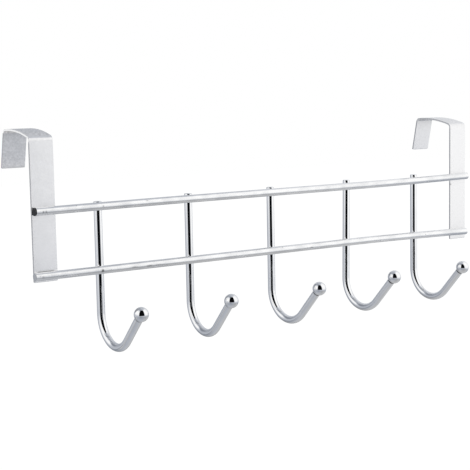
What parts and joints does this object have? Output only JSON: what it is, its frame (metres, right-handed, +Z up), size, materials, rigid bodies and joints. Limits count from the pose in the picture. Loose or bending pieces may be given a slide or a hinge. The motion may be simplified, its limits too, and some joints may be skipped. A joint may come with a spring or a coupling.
{
  "type": "over-door hook rack",
  "caption": "Welded wire rack that hangs over a door's top edge on bent flat straps, with round cross rails and a row of J-shaped hooks with ball tips for clothes and towels.",
  "frame": {"origin": "midway between the two straps, at the back face of their front legs where the front bends start: the door's top front edge", "axes": "+X along the rails to the viewer's right, +Y back into the door, +Z up"},
  "size_m": [0.4601, 0.1203, 0.1739],
  "materials": {
    "hanger_strap": "satin plated steel strip",
    "rail": "bright plated steel wire, slightly mottled",
    "hook": "mirror chrome plated steel wire",
    "ball": "mirror chrome plated steel ball"
  },
  "bodies": {
    "root": {"left_hanger_strap": "hanger_strap", "right_hanger_strap": "hanger_strap", "top_rail": "rail", "bottom_rail": "rail", "hook_wire_1": "hook", "hook_wire_2": "hook", "hook_wire_3": "hook", "hook_wire_4": "hook", "hook_wire_5": "hook", "ball_tip_1": "ball", "ball_tip_2": "ball", "ball_tip_3": "ball", "ball_tip_4": "ball", "ball_tip_5": "ball"}
  },
  "joints": []
}
